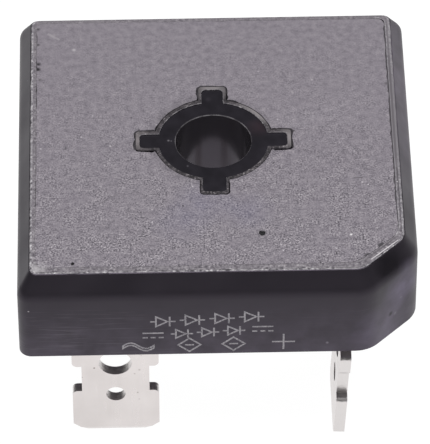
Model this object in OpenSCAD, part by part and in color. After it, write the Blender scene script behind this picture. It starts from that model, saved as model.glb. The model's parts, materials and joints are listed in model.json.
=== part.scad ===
// Square potted bridge rectifier with four 6.35 mm push-on tabs and a central screw hole.
// The origin is the centre of the screw hole on the heat-sink face. +Z points out of that face,
// so the tabs hang down and the part stands on their tips. -Y is the side that carries the marks.

/* [Case] */
// Side of the square case
case_w = 28.55; // [27.5:0.05:31]
// Height of the case from its underside to the heat-sink face
case_h = 7.55; // [7:0.05:9]
// Thickness of the cup's floor, which the tabs pass through
floor_t = 1.2; // [1:0.1:1.6]
// Radius of the case's upright corners
corner_r = 0.9; // [0.6:0.05:1.2]
// Leg of the 45 degree cut that marks the plus corner
corner_cut = 3.6; // [2.6:0.1:4.2]
// Radius at the two ends of that cut
cut_r = 2.3; // [1.9:0.1:3]
// Width, seen from above, of the bevel around the heat-sink face
bevel_w = 0.93; // [0.7:0.01:1.1]
// Height of that bevel
bevel_h = 1.5; // [1.2:0.05:1.8]
// Radius that blends the bevel into the side
blend_r = 1.5; // [0.5:0.1:1.8]
// Width of the cup's rim, ground flush with the potting
rim_w = 0.37; // [0.25:0.01:0.5]
// Corner radius of the rim
rim_r = 0.55; // [0.4:0.05:0.8]
// Corner radius of the pocket inside the rim
pocket_r = 0.5; // [0.3:0.05:0.8]
// Small chamfer around the underside
foot_break = 0.25; // [0.1:0.05:0.4]

/* [Screw hole] */
// Diameter of the screw hole
hole_d = 5.5; // [5:0.05:5.8]
// Diameter of the round part of the recess around the hole
recess_d = 8; // [7.4:0.1:8.4]
// Distance from the hole's centre to the end of each arm of the recess
arm_reach = 5.35; // [5:0.05:5.6]
// Width of the arms of the recess
arm_w = 1.45; // [1.2:0.05:1.8]
// Radius of the corners at the arms' ends
arm_r = 0.3; // [0.1:0.05:0.5]
// Depth of the recess below the heat-sink face
recess_depth = 0.12; // [0.08:0.01:0.3]
// Thickness of the dam between the recess and the potting
dam_w = 0.3; // [0.2:0.05:0.4]

/* [Tab blades] */
// Width of the blades
tab_w = 6.35; // [6.2:0.05:6.4]
// Thickness of the blades
tab_t = 0.8; // [0.7:0.05:0.9]
// Length of the blades below the case
tab_drop = 12.75; // [12:0.05:14]
// Width taken off each tip corner
tip_cut_w = 1.05; // [0.6:0.05:1.4]
// Height taken off each tip corner
tip_cut_h = 0.82; // [0.5:0.02:1.2]
// Depth of the lead-in coined on both faces of the tip
lead_in = 0.22; // [0.1:0.02:0.28]
// Height of that lead-in
lead_up = 0.4; // [0.2:0.05:0.8]
// Width of the blades at the side notches and in the case
waist_w = 4.95; // [4.6:0.05:5.2]
// Height of the lower shoulders above the tip
low_shoulder = 4.25; // [3.6:0.05:4.4]
// Height above the tip at which the blade widens again
high_shoulder = 6.8; // [6.2:0.05:7]
// Height above the tip at which the neck begins
neck_shoulder = 8.6; // [8:0.05:9]
// Radius of the shoulders' corners
shoulder_r = 0.4; // [0.2:0.05:0.6]
// Diameter of the detent hole
detent_d = 1.4; // [1.2:0.05:1.7]
// Height of the detent hole above the tip
detent_up = 3.9; // [3:0.05:4]
// Diameter of the wire hole
wire_d = 2.4; // [2:0.05:2.6]
// Height of the wire hole above the tip
wire_up = 7.15; // [6.4:0.05:7.4]

/* [Tab places] */
// Distance of the two AC tabs and the minus tab from the hole, front to back
tab_row = 9.05; // [8.9:0.05:9.6]
// Distance of those tabs from the hole, side to side
tab_side = 7.5; // [7.3:0.05:8.2]
// Distance of the plus tab from the hole, side to side
plus_row = 9.5; // [8.8:0.05:9.6]
// Distance of the plus tab from the hole, front to back
plus_side = 7.6; // [7.6:0.05:8.2]
// Degrees that the plus tab leans inward below the case
plus_lean = 3; // [0:0.5:4]
// Gap between a tab and its slot in the cup's floor
slot_gap = 0.1; // [0.05:0.01:0.2]

/* [Circuit] */
// Thickness of potting over the terminals' pads
pad_cover = 1; // [0.6:0.1:1.4]
// Gap between the pads and the dam
pad_gap = 0.375; // [0.3:0.025:0.45]
// Inner radius of the bend from tab to pad
bend_r = 0.3; // [0.2:0.05:0.5]
// Width of the relief slots beside the bend
relief_w = 0.25; // [0.15:0.05:0.35]
// Side of each silicon die
die_w = 3; // [2.6:0.1:3.1]
// Thickness of each die
die_t = 0.3; // [0.2:0.05:0.4]
// Distance from a pad's inner edge to its die
die_inset = 0.25; // [0.15:0.05:0.3]
// Thickness of the solder joints
solder_t = 0.1; // [0.05:0.01:0.15]
// Width of the copper jumpers
jumper_w = 2.4; // [2:0.1:2.6]
// Thickness of the jumpers
jumper_t = 0.5; // [0.3:0.05:0.7]
// Length of a jumper's foot
foot_len = 2.2; // [1.8:0.1:2.5]
// Length of the slope between a jumper's foot and its span
jog_len = 0.8; // [0.6:0.1:1.2]

/* [Hidden] */
$fn = 64;
hull_fn = 32;
blend_steps = 4;
over = 1;

// Plan
dam_d = recess_d + 2 * dam_w;
dam_reach = arm_reach + dam_w;
dam_arm_w = arm_w + 2 * dam_w;
pocket_inset = bevel_w + rim_w;
channel = dam_arm_w / 2 + pad_gap;

// Bevel
bevel_angle = atan(bevel_w / bevel_h);
blend_drop = blend_r * tan(bevel_angle / 2);

// Heights of the circuit's layers
pad_top = -pad_cover;
pad_under = pad_top - tab_t;
die_top = pad_under - solder_t;
die_under = die_top - die_t;
jumper_top = die_under - solder_t;
floor_top = floor_t - case_h;

// Plan of one jumper and its die
die_x = channel + die_inset + die_w / 2;
foot_x = channel + die_inset;
foot_mid = -foot_x - foot_len / 2;
jumper_row = (dam_reach + min(tab_row, plus_row) + tab_t / 2) / 2;

// ---- Outlines ----

// Corners of the case as [centre, radius, first and last angle of its arc], counter-clockwise.
function corners(inset, r, end_r) =
    let (
        near = case_w / 2 - inset - r,
        far = case_w / 2 - inset - end_r,
        reach = (case_w - corner_cut) / sqrt(2) - inset,
        back = (reach - end_r) * sqrt(2) - far
    )
    [
        [[back, -far], end_r, -90, -45],
        [[far, -back], end_r, -45, 0],
        [[near, near], r, 0, 90],
        [[-near, near], r, 90, 180],
        [[-near, -near], r, 180, 270]
    ];

// Rounded square with one corner cut, drawn inset from the case's side.
module case_outline(inset, r) {
    rounds = corners(inset, r, cut_r - inset);
    polygon([for (c = rounds, a = [c[2], c[3]]) c[0] + c[1] * [cos(a), sin(a)]]);
    for (c = rounds) {
        translate(c[0]) circle(c[1]);
    }
}

// Rectangle with round corners.
module round_rect(w, h, r) {
    square([w - 2 * r, h], center = true);
    square([w, h - 2 * r], center = true);
    for (x = [-1, 1], y = [-1, 1]) {
        translate([x * (w / 2 - r), y * (h / 2 - r)]) circle(r);
    }
}

// Round boss with four arms, the shape of the dam and of the recess inside it.
module cross_outline(d, reach, w, r) {
    circle(d = d);
    round_rect(2 * reach, w, r);
    round_rect(w, 2 * reach, r);
}

// ---- Case ----

// Inset and height of the outside along the bevel's blend and at the rim.
function bevel_steps() = [
    for (i = [0:blend_steps])
        let (a = bevel_angle * i / blend_steps)
        [blend_r * (1 - cos(a)), blend_r * sin(a) - bevel_h - blend_drop],
    [bevel_w, 0]
];

// Upright prism of the case's outline between two heights.
module case_prism(inset, low, high) {
    r = corner_r + (rim_r - corner_r) * inset / bevel_w;
    translate([0, 0, low])
        linear_extrude(high - low)
            case_outline(inset, r, $fn = hull_fn);
}

module case_outside() {
    hull() {
        case_prism(foot_break, -case_h, -bevel_h);
        for (s = bevel_steps()) {
            case_prism(s[0], foot_break - case_h, s[1]);
        }
    }
}

// Room for a tab in the cup's floor, wide enough for the blade to be dropped in from above.
// It reaches up into the pocket, and below the case by the length given.
module slot(side, row, below) {
    slot_w = tab_w + 2 * slot_gap;
    slot_t = tab_t + 2 * slot_gap;
    translate([side - slot_w / 2, -row - slot_t / 2, -case_h - below])
        cube([slot_w, slot_t, floor_t + over + below]);
}

module slots(below) {
    plus_quarter() slot(plus_side, plus_row, below);
    minus_quarter() slot(tab_side, tab_row, below);
    ac_front_quarter() slot(tab_side, tab_row, below);
    ac_rear_quarter() slot(tab_side, tab_row, below);
}

// Inside of the cup around the dam, up to a height above the heat-sink face.
module pocket(above) {
    translate([0, 0, floor_top])
        linear_extrude(above - floor_top)
            difference() {
                case_outline(pocket_inset, pocket_r);
                cross_outline(dam_d, dam_reach, dam_arm_w, arm_r + dam_w);
            }
}

module case_shell() {
    color("#3b3a3f")
        difference() {
            case_outside();
            pocket(over);
            slots(over);
            translate([0, 0, -recess_depth])
                linear_extrude(recess_depth + over)
                    cross_outline(recess_d, arm_reach, arm_w, arm_r);
            translate([0, 0, -case_h - over])
                cylinder(h = case_h + 2 * over, d = hole_d);
        }
}

// Fills the cup and the rest of each slot, and bonds to all that it surrounds.
module potting() {
    color("#89848a")
        difference() {
            union() {
                pocket(0);
                slots(0);
            }
            terminal_plus();
            terminal_minus();
            terminal_ac_front();
            terminal_ac_rear();
            on_each_side() diode_room();
        }
}

// ---- Terminals ----

// Each terminal is drawn in the front right quarter with its blade across X, and then goes to its own
// quarter. The plus terminal stays in that quarter, turned over its diagonal.
module plus_quarter() {
    mirror([1, 1, 0]) children();
}

module minus_quarter() {
    rotate(180) children();
}

module ac_front_quarter() {
    mirror([1, 0, 0]) children();
}

module ac_rear_quarter() {
    mirror([0, 1, 0]) children();
}

// Blade seen from the front, with its tip on the X axis and its neck carried above the case's
// underside by the length given.
module blade_outline(neck_up) {
    difference() {
        union() {
            polygon([
                [tip_cut_w - tab_w / 2, 0],
                [tab_w / 2 - tip_cut_w, 0],
                [tab_w / 2, tip_cut_h],
                [tab_w / 2, low_shoulder - shoulder_r],
                [-tab_w / 2, low_shoulder - shoulder_r],
                [-tab_w / 2, tip_cut_h]
            ]);
            translate([0, low_shoulder - 2 * shoulder_r])
                round_rect(tab_w, 4 * shoulder_r, shoulder_r);
            translate([0, (high_shoulder + neck_shoulder) / 2])
                round_rect(tab_w, neck_shoulder - high_shoulder, shoulder_r);
            translate([-waist_w / 2, low_shoulder - shoulder_r])
                square([waist_w, tab_drop + neck_up - low_shoulder + shoulder_r]);
        }
        translate([0, detent_up]) circle(d = detent_d);
        translate([0, wire_up]) circle(d = wire_d);
    }
}

module blade(neck_up) {
    translate([0, 0, -tab_drop])
        difference() {
            rotate([90, 0, 0])
                linear_extrude(tab_t, center = true)
                    blade_outline(neck_up);
            for (face = [0, 180]) {
                rotate([90, 0, 90 + face])
                    linear_extrude(tab_w, center = true)
                        polygon([
                            [tab_t / 2 - lead_in, 0],
                            [tab_t / 2, lead_up],
                            [tab_t, lead_up],
                            [tab_t, -over],
                            [tab_t / 2 - lead_in, -over]
                        ]);
            }
        }
}

// Leg inside the case, carried below the underside by the length given, with the bend at its top and the
// root of the pad. The section's origin is where the pad's underside meets the bend.
module leg(below) {
    leg_h = case_h + pad_under - bend_r + below;
    outer_r = tab_t + bend_r;
    translate([0, tab_t / 2 + bend_r, pad_under])
        rotate([90, 0, 90])
            linear_extrude(waist_w, center = true) {
                translate([-outer_r, -bend_r - leg_h]) square([tab_t, leg_h]);
                square([bend_r, tab_t]);
                translate([0, -bend_r])
                    difference() {
                        intersection() {
                            circle(outer_r);
                            translate([-outer_r, 0]) square(outer_r);
                        }
                        circle(bend_r);
                    }
            }
}

// Pad that carries a die, cut back around the dam and beside the bend.
module pad(side, row) {
    out_x = side + tab_w / 2;
    out_y = row + tab_t / 2;
    window_w = waist_w + 2 * relief_w;
    translate([0, 0, pad_under])
        linear_extrude(tab_t)
            difference() {
                translate([channel, -out_y]) square([out_x - channel, out_y - channel]);
                circle(d = dam_d + 2 * pad_gap);
                translate([side - window_w / 2, -out_y]) square([window_w, tab_t + bend_r]);
            }
}

// One stamped strip: pad, bend, leg and blade. A leaning blade meets its leg in a mitre.
module terminal(side, row, lean) {
    mitre = tab_t / 2 * tan(lean / 2);
    color("#ddd6d4") {
        pad(side, row);
        translate([side, -row, 0]) {
            leg(mitre);
            translate([0, 0, -case_h])
                rotate([lean, 0, 0])
                    blade(mitre);
        }
    }
}

module terminal_plus() {
    plus_quarter() terminal(plus_side, plus_row, plus_lean);
}

module terminal_minus() {
    minus_quarter() terminal(tab_side, tab_row, 0);
}

module terminal_ac_front() {
    ac_front_quarter() terminal(tab_side, tab_row, 0);
}

module terminal_ac_rear() {
    ac_rear_quarter() terminal(tab_side, tab_row, 0);
}

// ---- Circuit ----

// Each diode is drawn on the front side with its die to the right, and may then go to another side.
module on_left() {
    rotate(-90) children();
}

module on_right() {
    mirror([1, 0, 0]) on_left() children();
}

module on_rear() {
    mirror([0, 1, 0]) children();
}

module on_each_side() {
    children();
    on_right() children();
    on_rear() children();
    on_left() children();
}

// Square-cornered plate between two heights, centred on the jumper's row.
module plate(x, length, width, low, high) {
    translate([x - length / 2, -jumper_row - width / 2, low])
        cube([length, width, high - low]);
}

module die() {
    color("#565b66") plate(die_x, die_w, die_w, die_under, die_top);
}

// Two joints on the die and one on the jumper's foot.
module solder() {
    color("#b4b7bd") {
        plate(die_x, die_w, die_w, die_top, pad_under);
        plate(die_x, jumper_w, jumper_w, jumper_top, die_under);
        plate(foot_mid, foot_len, jumper_w, die_top, pad_under);
    }
}

module jumper() {
    top_line = [
        [-foot_x - foot_len, die_top],
        [-foot_x, die_top],
        [jog_len - foot_x, jumper_top],
        [die_x + jumper_w / 2, jumper_top]
    ];
    last = len(top_line) - 1;
    under_line = [for (i = [last:-1:0]) top_line[i] - [0, jumper_t]];
    color("#b9734a")
        translate([0, -jumper_row, 0])
            rotate([90, 0, 0])
                linear_extrude(jumper_w, center = true)
                    polygon(concat(top_line, under_line));
}

// Space that one diode takes in the potting. Its blocks run half way into what they are joined to, so that
// the potting leaves no skin between them.
module diode_room() {
    pad_mid = (pad_under + pad_top) / 2;
    die_mid = (die_under + die_top) / 2;
    plate(die_x, die_w, die_w, die_under, pad_mid);
    plate(die_x, jumper_w, jumper_w, jumper_top - jumper_t / 2, die_mid);
    plate(foot_mid, foot_len, jumper_w, die_top - jumper_t / 2, pad_mid);
    jumper();
}

case_shell();
potting();
terminal_plus();
terminal_minus();
terminal_ac_front();
terminal_ac_rear();
die();  // die_front
on_right() die();  // die_right
on_rear() die();  // die_rear
on_left() die();  // die_left
jumper();  // jumper_front
on_right() jumper();  // jumper_right
on_rear() jumper();  // jumper_rear
on_left() jumper();  // jumper_left
solder();  // solder_front
on_right() solder();  // solder_right
on_rear() solder();  // solder_rear
on_left() solder();  // solder_left
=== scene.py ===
"""Looks of a square potted bridge rectifier, built around its solids.

The part stands on its four tab tips with its heat-sink face up. All sizes in this file are in
millimetres and are turned to metres by MM as each mesh is made.
"""

import json
import logging
import math
from abc import ABC, abstractmethod
from dataclasses import dataclass
from enum import Enum, IntEnum

import bmesh
import bpy
from mathutils import Matrix, Quaternion, Vector, noise

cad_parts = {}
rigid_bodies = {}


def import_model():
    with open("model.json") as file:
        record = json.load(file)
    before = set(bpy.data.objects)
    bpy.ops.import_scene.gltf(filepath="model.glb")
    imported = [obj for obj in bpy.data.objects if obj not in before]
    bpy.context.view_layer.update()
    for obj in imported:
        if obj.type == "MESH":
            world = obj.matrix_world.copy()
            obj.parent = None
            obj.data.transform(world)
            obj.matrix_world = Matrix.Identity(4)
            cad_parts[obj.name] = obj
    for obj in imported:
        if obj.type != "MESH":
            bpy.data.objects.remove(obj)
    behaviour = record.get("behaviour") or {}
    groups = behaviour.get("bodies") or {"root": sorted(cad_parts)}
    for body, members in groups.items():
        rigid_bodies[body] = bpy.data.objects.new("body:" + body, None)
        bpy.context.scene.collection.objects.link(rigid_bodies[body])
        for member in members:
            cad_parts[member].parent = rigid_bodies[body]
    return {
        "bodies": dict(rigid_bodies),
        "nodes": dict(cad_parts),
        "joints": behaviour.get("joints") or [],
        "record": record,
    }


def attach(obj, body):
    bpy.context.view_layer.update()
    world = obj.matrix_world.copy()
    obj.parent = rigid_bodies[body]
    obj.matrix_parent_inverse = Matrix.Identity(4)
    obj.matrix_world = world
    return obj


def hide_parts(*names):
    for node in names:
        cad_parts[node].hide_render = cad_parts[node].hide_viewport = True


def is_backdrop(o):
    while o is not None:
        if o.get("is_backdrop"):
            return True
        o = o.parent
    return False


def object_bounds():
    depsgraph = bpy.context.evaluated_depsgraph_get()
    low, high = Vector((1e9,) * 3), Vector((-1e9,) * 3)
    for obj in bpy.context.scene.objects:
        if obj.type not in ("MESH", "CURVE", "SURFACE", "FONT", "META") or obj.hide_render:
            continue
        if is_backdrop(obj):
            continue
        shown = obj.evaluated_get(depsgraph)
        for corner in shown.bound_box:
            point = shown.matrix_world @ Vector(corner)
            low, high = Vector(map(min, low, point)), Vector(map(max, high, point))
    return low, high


logging.basicConfig(level=logging.INFO, format="%(message)s")
LOG = logging.getLogger("rectifier")

MM = 0.001
BODY = "root"

Point = tuple[float, float, float]
Flat = tuple[float, float]
Rgba = tuple[float, float, float, float]
Tree = bpy.types.NodeTree
Node = bpy.types.Node
Socket = bpy.types.NodeSocket
Value = Node | Socket | str | float | tuple
Finish = bpy.types.Material
Solids = dict[str, bpy.types.Object]


# ---- Colours and nodes ----


def linear(code: str) -> Rgba:
    """Turn an sRGB hex colour into linear light.

    Args:
        code: Six hex digits, such as "3b3a3f".

    Returns:
        Red, green, blue and an alpha of 1.
    """
    parts = [int(code[i : i + 2], 16) / 255 for i in (0, 2, 4)]
    light = [c / 12.92 if c <= 0.04045 else ((c + 0.055) / 1.055) ** 2.4 for c in parts]
    return (light[0], light[1], light[2], 1.0)


def add(tree: Tree, kind: str, *values: Value, named: dict[str, Value] | None = None, **settings) -> Node:
    """Add one node with its settings, values and links.

    Args:
        tree: The node tree that gets the node.
        kind: Blender's name of the node's type, without the ShaderNode before it.
        values: What the inputs in use get, in their order: a node or socket to link, a hex colour or a
            plain value. A node gives its first output in use.
        named: What further inputs get, by name.
        settings: Properties of the node itself, such as operation or data_type.

    Returns:
        The new node.
    """
    node = tree.nodes.new("ShaderNode" + kind)
    for key, setting in settings.items():
        setattr(node, key, setting)
    pairs = list(zip([socket for socket in node.inputs if socket.enabled], values))
    pairs += [(node.inputs[key], value) for key, value in (named or {}).items()]
    for socket, value in pairs:
        if isinstance(value, Node):
            value = next(output for output in value.outputs if output.enabled)
        if isinstance(value, Socket):
            tree.links.new(value, socket)
        else:
            socket.default_value = linear(value) if isinstance(value, str) else value
    return node


def empty_tree(owner: Finish | bpy.types.World) -> Tree:
    """Give a material or a world an empty node tree and return the tree."""
    owner.use_nodes = True
    owner.node_tree.nodes.clear()
    return owner.node_tree


def new_material(name: str) -> tuple[Finish, Tree, Socket]:
    """Make an empty node material.

    Args:
        name: What the real material is.

    Returns:
        The material, its tree, and the object's own coordinates, in metres.
    """
    material = bpy.data.materials.new(name)
    tree = empty_tree(material)
    return material, tree, add(tree, "TexCoord").outputs["Object"]


def finished(material: Finish, inputs: dict[str, Value]) -> Finish:
    """Give a material its shader.

    Args:
        material: The material.
        inputs: What the shader's inputs get, by name.

    Returns:
        The same material.
    """
    tree = material.node_tree
    add(tree, "OutputMaterial", add(tree, "BsdfPrincipled", named=inputs))
    return material


# ---- Finishes ----


def per_mm(size: float) -> float:
    """Return the texture scale at which one feature of a pattern is this many millimetres."""
    return 1 / (size * MM)


def speckle(tree: Tree, place: Socket, spacing: float, size: float, share: float) -> Node:
    """Scatter small round spots at random.

    Args:
        tree: The node tree.
        place: Coordinates in metres.
        spacing: Mean distance between the cells that may hold a spot, in millimetres.
        size: Radius of a spot as a share of that spacing.
        share: Part of the cells that stay empty.

    Returns:
        A mask, 1 inside the spots.
    """
    cells = add(tree, "TexVoronoi", place, per_mm(spacing))
    chance = add(tree, "SeparateColor", cells.outputs["Color"])
    # A spot's size follows its cell's own number, so that no two look the same.
    reach = add(tree, "MapRange", chance, share, 1.0, 0.35 * size, size, clamp=True)
    inside = add(tree, "Math", cells, reach, operation="LESS_THAN")
    chosen = add(tree, "Math", chance, share, operation="GREATER_THAN")
    return add(tree, "Math", inside, chosen, operation="MULTIPLY")


class Wear(ABC):
    """A mark laid into a surface's colour: handling and grinding wear, and in places painted light and shade.
    """

    tone: str

    @abstractmethod
    def mask(self, tree: Tree, place: Socket) -> Node:
        """Return how strong the mark is at each place."""

    def lay(self, tree: Tree, place: Socket, broken: Node, colour: Node) -> Node:
        """Blend the mark into a colour.

        Args:
            tree: The node tree.
            place: Coordinates in metres.
            broken: A pattern that breaks the mark up.
            colour: The colour under the mark.

        Returns:
            The colour with the mark.
        """
        share = add(tree, "Math", self.mask(tree, place), broken, operation="MULTIPLY", use_clamp=True)
        return add(tree, "Mix", share, colour, self.tone, data_type="RGBA")


@dataclass(frozen=True)
class Patch(Wear):
    """A round, soft-edged patch of another tone, in millimetres."""

    x: float
    y: float
    radius: float
    tone: str
    strength: float
    z: float = 0.0

    def mask(self, tree: Tree, place: Socket) -> Node:
        """Return how strong the patch is at each place: most in its middle, fading to its rim."""
        gap = add(tree, "VectorMath", place, (self.x * MM, self.y * MM, self.z * MM), operation="DISTANCE")
        return add(tree, "MapRange", gap, 0.0, self.radius * MM, 2 * self.strength, 0.0)


@dataclass(frozen=True)
class Scratch(Wear):
    """A straight scratch across the ground face, in millimetres."""

    start: Flat
    end: Flat
    width: float
    tone: str
    strength: float

    def mask(self, tree: Tree, place: Socket) -> Node:
        """Return how strong the scratch is at each place: its strength inside, 0 outside."""
        (ax, ay), (bx, by) = self.start, self.end
        length = math.hypot(bx - ax, by - ay)
        ux, uy = (bx - ax) / length, (by - ay) / length
        middle = ((ax + bx) / 2 * MM, (ay + by) / 2 * MM, 0.0)
        off = add(tree, "VectorMath", place, middle, operation="SUBTRACT")
        masks = []
        for direction, reach in (((ux, uy, 0.0), length / 2), ((-uy, ux, 0.0), self.width / 2)):
            along = add(tree, "VectorMath", off, direction, operation="DOT_PRODUCT")
            masks.append(add(tree, "Math", along, 0.0, reach * MM, operation="COMPARE"))
        inside = add(tree, "Math", *masks, operation="MULTIPLY")
        return add(tree, "Math", inside, 2 * self.strength, operation="MULTIPLY")


@dataclass(frozen=True)
class MouldedPlastic:
    """Black glass-filled plastic as it leaves a polished mould: near black, with a satin sheen."""

    name: str = "moulded_plastic_painted_light"
    body: str = "1c1a1e"
    cloud: str = "242126"
    low_tone: str = "48434d"
    streak: str = "5e5a61"
    dust: str = "a8a4a8"
    # The black pigment gives even the sheen a violet cast.
    sheen: str = "f0e2f8"
    roughness: float = 0.42
    cloud_mm: float = 4.0
    low_from: float = -2.0
    low_to: float = -7.6
    low_mm: float = 1.4
    streak_mm: float = 0.09
    run: Point = (0.03, 0.03, 1.0)
    dust_mm: float = 1.9
    skin_mm: float = 0.25
    streak_from: float = -3.0
    streak_to: float = -9.0
    wipe_from: float = -2.5
    wipe_to: float = -3.4
    wear: tuple[Wear, ...] = ()

    def build(self) -> Finish:
        """Return the material: clouded black, wiped streaks at the left of the marked side, some dust."""
        material, tree, place = new_material(self.name)
        clouds = add(tree, "TexNoise", place, per_mm(self.cloud_mm), 3.0)
        tone = add(tree, "Mix", clouds, self.body, self.cloud, data_type="RGBA")
        across = add(tree, "SeparateXYZ", place)
        # Lighter towards the underside, in patches.
        low = add(tree, "MapRange", across.outputs["Z"], self.low_from * MM, self.low_to * MM)
        blots = add(tree, "TexNoise", place, per_mm(self.low_mm), 4.0)
        thick = add(tree, "MapRange", blots, 0.3, 0.7, 0.3, 1.2)
        low_share = add(tree, "Math", low, thick, operation="MULTIPLY")
        low_toned = add(tree, "Mix", low_share, tone, self.low_tone, data_type="RGBA")
        # Wiping marks run along the side, so the pattern is drawn out that way.
        drawn = add(tree, "VectorMath", place, self.run, operation="MULTIPLY")
        lines = add(tree, "TexNoise", drawn, per_mm(self.streak_mm), 2.0, 0.6)
        sharp = add(tree, "MapRange", lines, 0.56, 0.74, 0.0, 0.75)
        start, end = self.streak_from * MM, self.streak_to * MM
        left = add(tree, "MapRange", across.outputs["X"], start, end, 0.2, 1.0)
        below = add(tree, "MapRange", across.outputs["Z"], self.wipe_from * MM, self.wipe_to * MM)
        reach = add(tree, "Math", below, left, operation="MULTIPLY")
        wiped = add(tree, "Math", sharp, reach, operation="MULTIPLY")
        colour = add(tree, "Mix", wiped, low_toned, self.streak, data_type="RGBA")
        for mark in self.wear:
            colour = mark.lay(tree, place, blots, colour)
        dusty = speckle(tree, place, self.dust_mm, 0.045, 0.8)
        dusted = add(tree, "Mix", dusty, colour, self.dust, data_type="RGBA")
        rough = add(tree, "MapRange", clouds, 0.3, 0.7, self.roughness - 0.03, self.roughness + 0.07)
        skin = add(tree, "TexNoise", place, per_mm(self.skin_mm), 2.0)
        bump = add(tree, "Bump", 0.06, 0.02 * MM, named={"Height": skin})
        return finished(
            material,
            {"Base Color": dusted, "Specular Tint": self.sheen, "Roughness": rough, "Normal": bump},
        )


# The outside. On the corner cut: a lighter violet sheen painted on its face, painted shade on its bevel, and
# the small dent that handling left on its face. Also a lighter violet sheen painted on the right bevel and
# side.
SATIN_PLASTIC = MouldedPlastic(
    wear=(
        # Painted sheen: lighter violet on the corner cut's face.
        Patch(13.3, -11.9, 2.4, "756d84", 0.8, z=-3.3),
        Patch(11.9, -13.2, 3.0, "655e70", 0.9, z=-6.0),
        # Painted shade on the corner cut's bevel.
        Patch(12.4, -12.4, 1.7, "060508", 1.6, z=-0.7),
        # Painted sheen: lighter violet on the right bevel and side.
        Patch(14.0, 6.0, 13.0, "615a66", 0.7, z=-0.7),
        Patch(12.35, -12.75, 0.3, "17151a", 1.5, z=-5.2),
        Patch(12.7, -12.4, 0.22, "8c8790", 1.0, z=-5.5),
        Patch(13.1, -12.0, 0.18, "8c8790", 0.9, z=-4.3),
        Patch(12.2, -12.9, 0.15, "807b84", 0.9, z=-6.9),
        Patch(7.7, -14.27, 0.14, "8c8790", 0.9, z=-6.4),
    ),
)

# The recess keeps its moulded skin, and catches dust and thumb marks.
DUSTY_PLASTIC = MouldedPlastic(
    name="dusty_black_plastic",
    body="151417",
    cloud="222126",
    cloud_mm=1.3,
    low_tone="2a272c",
    dust="68656a",
    dust_mm=0.8,
    roughness=0.34,
    wear=(
        Patch(3.2, 1.5, 1.1, "2e2429", 0.8),
        Patch(-3.35, 0.3, 0.12, "6a676c", 0.9, z=-0.12),
        Patch(-3.15, 0.25, 0.07, "6a676c", 0.8, z=-0.12),
        Patch(-2.0, -2.4, 0.1, "5f5c61", 0.8, z=-0.12),
        Patch(-0.4, 4.6, 0.3, "39363b", 0.4, z=-0.12),
    ),
)

# The same plastic drawn off a polished core pin: a glossy bore with faint drag lines along it. Its colours
# are painted lighter than the outside's, and lighter again towards the bottom, standing in for the light on
# the bore's wall.
BORE = MouldedPlastic(
    name="core_drawn_plastic_painted_light",
    body="3d3a3f",
    cloud="454247",
    low_tone="4a474c",
    streak="2c292d",
    roughness=0.14,
    run=(1.0, 1.0, 0.04),
    streak_mm=0.6,
    streak_from=100.0,
    streak_to=99.0,
)


@dataclass(frozen=True)
class GroundSurface:
    """A surface ground flat on abrasive paper: cut filler grains scatter light, torn ones stay dark."""

    name: str
    # Torn grains, shaded ones, the body, lit ones and flashing ones.
    shades: tuple[str, str, str, str, str]
    grain_mm: float
    roughness: float
    contrast: float = 1.0
    # Half the length over which the grain's strength goes from its rear value to its front one.
    stroke: float = 12.0
    rear: float = 0.15
    front: float = 1.25
    bump: float = 0.25
    mottle_mm: float = 0.5
    mottle: float = 0.45
    patch_mm: float = 1.6
    flash_share: float = 0.93
    pit_share: float = 0.86
    wear: tuple[Wear, ...] = ()

    def build(self) -> Finish:
        """Return the material: granular tone, flashing grains, torn pits and its own marks."""
        material, tree, place = new_material(self.name)
        grain = add(tree, "TexNoise", place, per_mm(self.grain_mm), 1.0, 0.8)
        mottle = add(tree, "TexNoise", place, per_mm(self.mottle_mm), 2.0, 0.6)
        patches = add(tree, "TexNoise", place, per_mm(self.patch_mm), 3.0)
        # The paper cut harder towards the marked side, so the grain grows stronger from rear to front.
        along = add(tree, "SeparateXYZ", place).outputs["Y"]
        rear, front = self.stroke * MM, -self.stroke * MM
        harder = add(tree, "MapRange", along, rear, front, self.rear, self.front)
        swing = add(tree, "MapRange", patches, 0.35, 0.65, 0.5, 1.5)
        force = add(tree, "Math", harder, swing, operation="MULTIPLY")
        strong = add(tree, "Math", force, self.contrast, operation="MULTIPLY")
        off = add(tree, "Math", grain, 0.5, operation="SUBTRACT")
        swung = add(tree, "Math", off, strong, operation="MULTIPLY")
        soft = add(tree, "Math", mottle, 0.5, operation="SUBTRACT")
        gentle = add(tree, "MapRange", along, rear, front, 0.7 * self.mottle, self.mottle)
        level = add(tree, "Math", soft, gentle, swung, operation="MULTIPLY_ADD")
        colour = add(tree, "ValToRGB", add(tree, "MapRange", level, -0.5, 0.5, 0.0, 1.0))
        stops = list(zip((0.15, 0.36, 0.5, 0.66, 0.9), self.shades))
        ramp = colour.color_ramp
        for spot, code in stops[2:]:
            ramp.elements.new(spot)
        for element, (spot, code) in zip(ramp.elements, stops):
            element.position = spot
            element.color = linear(code)
        for mark in self.wear:
            colour = mark.lay(tree, place, patches, colour)
        for spots, code in (
            (speckle(tree, place, 0.42, 0.17, self.flash_share), self.shades[-1]),
            (speckle(tree, place, 0.6, 0.13, self.pit_share), self.shades[0]),
        ):
            faint = add(tree, "Math", spots, harder, operation="MULTIPLY", use_clamp=True)
            colour = add(tree, "Mix", faint, colour, code, data_type="RGBA")
        bump = add(tree, "Bump", self.bump, 0.03 * MM, named={"Height": level})
        return finished(material, {"Base Color": colour, "Roughness": self.roughness, "Normal": bump})


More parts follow.
